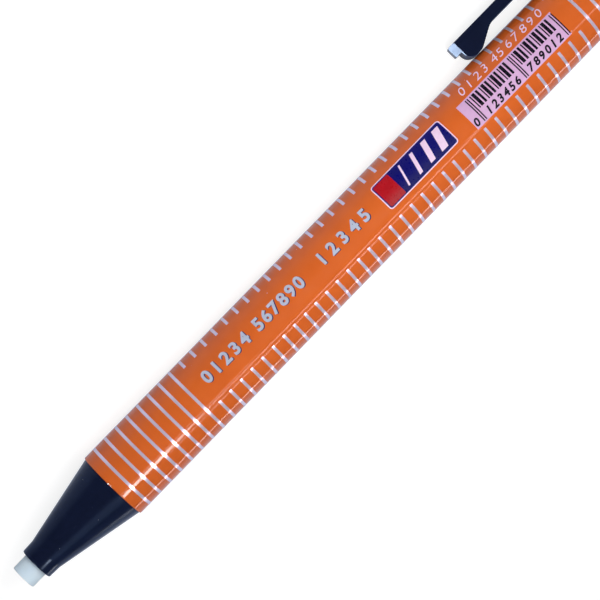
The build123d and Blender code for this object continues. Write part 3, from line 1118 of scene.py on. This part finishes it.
shadows = number_row(NUMBER_GROUPS, NUMBER_LOW, NUMBER_HEIGHT, weight=NUMBER_WEIGHT, shift=SHADOW_SHIFT)
numbers = number_row(NUMBER_GROUPS, NUMBER_LOW, NUMBER_HEIGHT, weight=NUMBER_WEIGHT)
add_print("number_shadows", shadows, SHADOW_PROUD, shadow_ink)
add_print("silver_numbers", numbers, NUMBER_PROUD, blue_silver_ink)

# %% [markdown]
# Next comes a navy panel with a pale edge. A red block fills its front end, and pale slanted stripes
# of growing width fill the rest: plain shapes that only give the strip its colours. They could be cut
# out of one sheet, but a printer lays one ink over another, and so do they, each a little higher than
# the one below, so that no two faces lie at the same height.

# %% Navy panel
PANEL_PROUD, PANEL_INK_PROUD, PANEL_TOP_PROUD = 0.008, 0.014, 0.020
PANEL_LEFT, PANEL_RIGHT = 71.55, 84.95
PANEL_LOW, PANEL_HIGH = -1.15, 3.3
PANEL_EDGE = 0.17
PANEL_ROUND = 0.5
RED_LENGTH = 3.0
STRIPES = 4
STRIPE_PITCH = 2.2
STRIPE_SLANT = 0.9
STRIPE_WIDTH = 0.3
STRIPE_MARGIN = 0.5

inner_left, inner_right = PANEL_LEFT + PANEL_EDGE, PANEL_RIGHT - PANEL_EDGE
inner_low, inner_high = PANEL_LOW + PANEL_EDGE, PANEL_HIGH - PANEL_EDGE
red_left, red_right = inner_left + PANEL_EDGE, inner_left + RED_LENGTH
red_low, red_high = inner_low + PANEL_EDGE, inner_high - PANEL_EDGE
stripe_low, stripe_high = inner_low + STRIPE_MARGIN, inner_high - STRIPE_MARGIN

edge_print, navy_print, red_print, stripe_print = bmesh.new(), bmesh.new(), bmesh.new(), bmesh.new()
flat_panel(edge_print, PANEL_LEFT, PANEL_RIGHT, PANEL_LOW, PANEL_HIGH, PANEL_ROUND)
flat_panel(navy_print, inner_left, inner_right, inner_low, inner_high, PANEL_ROUND - PANEL_EDGE)
flat_panel(red_print, red_left, red_right, red_low, red_high, PANEL_EDGE)
for stripe in range(STRIPES):
    left = red_right + STRIPE_SLANT + STRIPE_PITCH * stripe
    right = left + STRIPE_WIDTH * (stripe + 1)
    upper = [(right + STRIPE_SLANT, stripe_high), (left + STRIPE_SLANT, stripe_high)]
    flat_shape(stripe_print, [(left, stripe_low), (right, stripe_low), *upper])
add_print("panel_edge", edge_print, PANEL_PROUD, pink_ink)
add_print("navy_panel", navy_print, PANEL_INK_PROUD, navy_ink)
add_print("red_block", red_print, PANEL_TOP_PROUD, red_ink)
add_print("slanted_stripes", stripe_print, PANEL_TOP_PROUD, pink_ink)

# %% [markdown]
# Last on the strip is a pale card with black bars. Pairs of long bars divide it, and between them the
# short bars repeat a group of three widths. Digits that only count up stand below, and a row of small
# thin ones runs beside the card on the clip's side. Bars are very short rings, so the tree of the rings
# makes them too, one row for each width.

# %% Pale card and small numbers
CARD_PROUD, SMALL_DIGIT_PROUD, BAR_PROUD, CARD_DIGIT_PROUD = 0.008, 0.010, 0.014, 0.016
CARD_LEFT, CARD_RIGHT = 87.9, 106.5
CARD_LOW, CARD_HIGH = -1.95, 2.45
BAR_LOW, BAR_HIGH, LONG_BAR_LOW = 0.0, 2.2, -1.75
BAR_POINTS = 14
LONG_BARS, LONG_BAR_FIRST, LONG_BAR_SPACING, LONG_BAR_WIDTH = 3, 89.45, 8.3, 0.19
LONG_BAR_GAP = 0.36
BAR_FIRSTS, BAR_PITCH, BAR_GROUPS = {"front": 90.3, "rear": 98.6}, 1.8, 4
BAR_SHIFTS_AND_WIDTHS = {"narrow": (0.0, 0.2), "wide": (0.52, 0.5), "middle": (1.18, 0.36)}
CARD_DIGITS = [(1, 88.5, 1), (6, 90.95, 1.12), (6, 99.25, 1.12)]
CARD_DIGIT_HEIGHT, CARD_DIGIT_LOW, CARD_DIGIT_WEIGHT = 1.25, -1.7, 0.035
SMALL_DIGITS = [(4, 90.2, 1.5), (2, 96.6, 1.2), (5, 99.4, 1.5)]
SMALL_DIGIT_HEIGHT, SMALL_DIGIT_LOW, SMALL_DIGIT_WEIGHT = 1.45, 3.0, -0.005
DIGIT_SLANT = 0.2

card = bmesh.new()
flat_panel(card, CARD_LEFT, CARD_RIGHT, CARD_LOW, CARD_HIGH)
add_print("pale_card", card, CARD_PROUD, lilac_ink)


def bars(name, count, first, pitch, width, low):
    """A row of black bars on the card."""
    start, end = low / barrel_radius, BAR_HIGH / barrel_radius
    printed_row(name, count, first, pitch, width, BAR_PROUD, black_ink, start, end, BAR_POINTS)


for end_name, first in BAR_FIRSTS.items():
    for name, (shift, width) in BAR_SHIFTS_AND_WIDTHS.items():
        bars(f"{end_name}_{name}_bars", BAR_GROUPS, first + shift, BAR_PITCH, width, BAR_LOW)
for index in range(2):
    first = LONG_BAR_FIRST + LONG_BAR_GAP * index
    bars(f"long_bars_{index + 1}", LONG_BARS, first, LONG_BAR_SPACING, LONG_BAR_WIDTH, LONG_BAR_LOW)
card_digits = number_row(CARD_DIGITS, CARD_DIGIT_LOW, CARD_DIGIT_HEIGHT, DIGIT_SLANT, CARD_DIGIT_WEIGHT)
small_digits = number_row(SMALL_DIGITS, SMALL_DIGIT_LOW, SMALL_DIGIT_HEIGHT, DIGIT_SLANT, SMALL_DIGIT_WEIGHT)
add_print("card_digits", card_digits, CARD_DIGIT_PROUD, black_ink)
add_print("small_digits", small_digits, SMALL_DIGIT_PROUD, pink_ink)

# %% [markdown]
# The pen lies on a plain white table that fills every view. More light on the table would make it white,
# but the pen's colours would wash out. So the table is lifted to white only for what the camera sees,
# and keeps a plain pale grey for the light that it throws back, which leaves the pen's own shadow on
# it. What a shiny surface mirrors of the table is a cooler grey glow with painted shade in it: an
# ambient occlusion node darkens that glow close to the pen, as the narrow gap beside the barrel would be
# shaded, and a painted dark spot sits under the clip's bump.

# %% Table
TABLE_SIZE = 3.0
TABLE_GREY = 0.40
TABLE_LIFT = 0.77
TABLE_MIRRORED = (0.34, 0.40, 0.52, 1)
# Painted shade in the mirrored glow: how far it reaches near the pen, and the place and size of the dark spot
# under the clip's bump
GAP_REACH = 1.2
GAP_STATION, GAP_SIDE = 1.9, 5.6
GAP_DARK_RADIUS, GAP_PALE_RADIUS = 1.3, 2.6
GAP_GLOW = 0.02


def seen_and_mirrored(tree):
    """One for camera rays, and one for glossy and transmission rays."""
    rays = add_node(tree, "ShaderNodeLightPath").outputs
    return rays["Is Camera Ray"], number(tree, "MAXIMUM", rays["Is Glossy Ray"], rays["Is Transmission Ray"])


def painted_gap_shade(tree):
    """A painted shade in the table's mirrored glow: one over most of the table, and nearly nought at the spot
    under the clip's bump.
    """
    position = add_node(tree, "ShaderNodeTexCoord").outputs["Object"]
    gap = pen @ Vector((clip_front + GAP_STATION, GAP_SIDE, 0))
    ends = {0: position, 1: (gap.x, gap.y, 0)}
    distance = add_node(tree, "ShaderNodeVectorMath", ends, operation="DISTANCE").outputs["Value"]
    inner, outer = GAP_DARK_RADIUS * MM, GAP_PALE_RADIUS * MM
    limits = {"From Min": inner, "From Max": outer, "To Min": GAP_GLOW, "To Max": 1.0}
    return add_node(tree, "ShaderNodeMapRange", {"Value": distance} | limits).outputs[0]


def white_table_material():
    material = bpy.data.materials.new("white table")
    material.use_nodes = True
    tree = material.node_tree
    tree.nodes.remove(tree.nodes["Principled BSDF"])
    matt = add_node(tree, "ShaderNodeBsdfDiffuse", {"Color": (TABLE_GREY, TABLE_GREY, TABLE_GREY, 1)})
    seen, mirrored = seen_and_mirrored(tree)
    # Painted shade: the glow that shiny surfaces mirror is darkened by ambient occlusion near the pen and by the
    # painted dark spot under the clip's bump
    painted_near_shade = add_node(tree, "ShaderNodeAmbientOcclusion", {"Distance": GAP_REACH * MM}).outputs["AO"]
    shown = number(tree, "MULTIPLY", seen, TABLE_LIFT)
    mirrored_with_painted_shade = number(tree, "MULTIPLY", number(tree, "MULTIPLY", mirrored, painted_near_shade), painted_gap_shade(tree))
    strength = number(tree, "MAXIMUM", shown, mirrored_with_painted_shade)
    colour = blend_colours(tree, seen, TABLE_MIRRORED, (1, 1, 1, 1))
    glow = add_node(tree, "ShaderNodeEmission", {"Color": colour, "Strength": strength})
    both = add_node(tree, "ShaderNodeAddShader", {0: matt.outputs[0], 1: glow.outputs[0]})
    tree.links.new(both.outputs[0], tree.nodes["Material Output"].inputs["Surface"])
    return material


# Two inks' depth under the barrel, so that the silver rings lie on the table and not in it
table_height = -2 * INK_SINK * MM
reach = TABLE_SIZE / 2
table_corners = [(-reach, -reach), (reach, -reach), (reach, reach), (-reach, reach)]
table_mesh = bpy.data.meshes.new("table")
table_mesh.from_pydata([(x, y, table_height) for x, y in table_corners], [], [(0, 1, 2, 3)])
table_mesh.materials.append(white_table_material())
table = bpy.data.objects.new("table", table_mesh)
scene.collection.objects.link(table)
print("table", TABLE_SIZE, "m wide, at", table_height, "m")

# %% [markdown]
# Glossy round plastic is drawn by what it mirrors. A picture of a real room could be mirrored, but here
# the room is a rule: its walls are pale low down and dim overhead, which keeps the nose dark between
# pale edges. The camera sees it as plain white, and matt surfaces get an even fill from it.

# %% Room
ROOM_FILL = 0.48
ROOM_LOW_GLOW, ROOM_HIGH_GLOW = 0.5, 0.1
WALL_FOOT, WALL_TOP = 0.02, 0.14
ROOM_COLOUR = (0.98, 0.99, 1.0, 1)


def studio_room():
    world = bpy.data.worlds.new("studio")
    world.use_nodes = True
    tree = world.node_tree
    direction = add_node(tree, "ShaderNodeTexCoord").outputs["Generated"]
    upward = add_node(tree, "ShaderNodeSeparateXYZ", {0: direction}).outputs["Z"]
    limits = {"From Min": WALL_FOOT, "From Max": WALL_TOP, "To Min": ROOM_LOW_GLOW, "To Max": ROOM_HIGH_GLOW}
    wall = add_node(tree, "ShaderNodeMapRange", {"Value": upward} | limits).outputs[0]
    seen, mirrored = seen_and_mirrored(tree)
    lit = add_node(tree, "ShaderNodeMix", {0: mirrored, 2: ROOM_FILL, 3: wall}, data_type="FLOAT")
    background = tree.nodes["Background"]
    background.inputs["Color"].default_value = ROOM_COLOUR
    tree.links.new(number(tree, "MAXIMUM", seen, lit.outputs[0]), background.inputs["Strength"])
    return world


scene.world = studio_room()
print("room:", scene.world.name)

# %% [markdown]
# Each lamp has one task. A mirrored line lies halfway in angle between the camera and its lamp, so a
# thin line along the barrel needs a long narrow lamp beside the pen at twice that angle. A bright one
# ends in a fading one near the nose, two faint ones run on along the strip, and low ones, just above the
# table, draw the line near the rim. One small strong lamp ahead of the tip is mirrored by the flat on
# the clip's end, and a dim blue one by the cone. Two soft lamps overhead, a wide one and a near one that
# lights the middle of the pen more than its ends, give most of the light and aren't mirrored. One big
# lamp would be simpler, but it would draw one broad band and wash the rest out.

# %% Lamps
LAMP_DISTANCE = 500.0


def add_lamp(name, size, place, aim, brightness, colour=(1, 1, 1), along=lengthwise):
    """An oblong lamp at a place, which looks at an aim, with its length along a direction."""
    light = bpy.data.lights.new(name, "AREA")
    light.shape = "RECTANGLE"
    light.size, light.size_y = size[0] * MM, size[1] * MM
    light.color = colour
    light.energy = brightness * math.pi * light.size * light.size_y
    lamp = bpy.data.objects.new(name, light)
    place, aim = Vector(place), Vector(aim)
    outwards = (place - aim).normalized()
    side = outwards.cross(along).normalized()
    faced = Matrix((side.cross(outwards), side, outwards)).transposed().to_4x4()
    lamp.matrix_world = Matrix.Translation(pen @ place) @ directions @ faced
    lamp.visible_camera = False
    scene.collection.objects.link(lamp)
    return lamp


def place_round_the_pen(station, turn):
    """The place of a lamp at a turn in degrees from the side of the prints, away from the clip."""
    angle = math.radians(turn)
    return Vector((station, -LAMP_DISTANCE * math.sin(angle), LAMP_DISTANCE * math.cos(angle)))


def line_lamp(name, start, end, width, brightness):
    """A long lamp that is only mirrored, from one (station, turn) to another."""
    first, last = place_round_the_pen(*start), place_round_the_pen(*end)
    middle = (first + last) / 2
    size = ((last - first).length, width)
    along = (last - first).normalized()
    lamp = add_lamp(name, size, middle, (middle.x, 0, 0), brightness, along=along)
    lamp.visible_diffuse = False


def soft_lamp(name, size, place, aim, brightness):
    """A lamp that lights matt colours and isn't mirrored."""
    add_lamp(name, size, place, aim, brightness).visible_glossy = False


def mirrored_lamp(name, size, place, aim, brightness, colour):
    """A lamp that is only mirrored, as one patch."""
    add_lamp(name, size, place, aim, brightness, colour).visible_diffuse = False


line_lamp("bright_line", start=(-120, 46), end=(14, 46), width=76, brightness=26.0)
line_lamp("upper_line", start=(-120, 37), end=(50, 37), width=18, brightness=7.0)
line_lamp("fading_line", start=(14, 45), end=(27, 45), width=44, brightness=13.0)
line_lamp("first_line", start=(14, 43.5), end=(160, 43.5), width=26, brightness=8.5)
line_lamp("second_line", start=(14, 55.5), end=(130, 55.5), width=26, brightness=8.5)
line_lamp("rear_line", start=(150, 39), end=(300, 39), width=36, brightness=5.0)
line_lamp("low_front_line", start=(-120, 112), end=(-20, 112), width=50, brightness=11.0)
line_lamp("low_middle_line", start=(-20, 107), end=(90, 111.5), width=26, brightness=9.0)
line_lamp("low_rear_line", start=(90, 111.5), end=(300, 111.5), width=26, brightness=9.0)
line_lamp("left_panel", start=(-60, -52), end=(320, -52), width=160, brightness=0.3)
mirrored_lamp("end_lamp", (110, 110), (-400, 20, 76), (94, 8, 2), 80.0, colour=(0.85, 0.92, 1.0))
mirrored_lamp("cone_lamp", (160, 300), (-245, -383, 321), (8, 0, 0), 1.4, colour=(0.6, 0.75, 1.0))
soft_lamp("wide_soft", (550, 500), (55, -60, 495), aim=(55, 0, 0), brightness=0.36)
soft_lamp("near_soft", (60, 60), (78, -26, 108), aim=(78, 0, 0), brightness=5.8)

# %% [markdown]
# A view that squeezes bright tones would soften the mirrored lines, but it would also grey the white
# table, so the colours are shown as they are written.

# %% Finish
scene.view_settings.view_transform = "Standard"
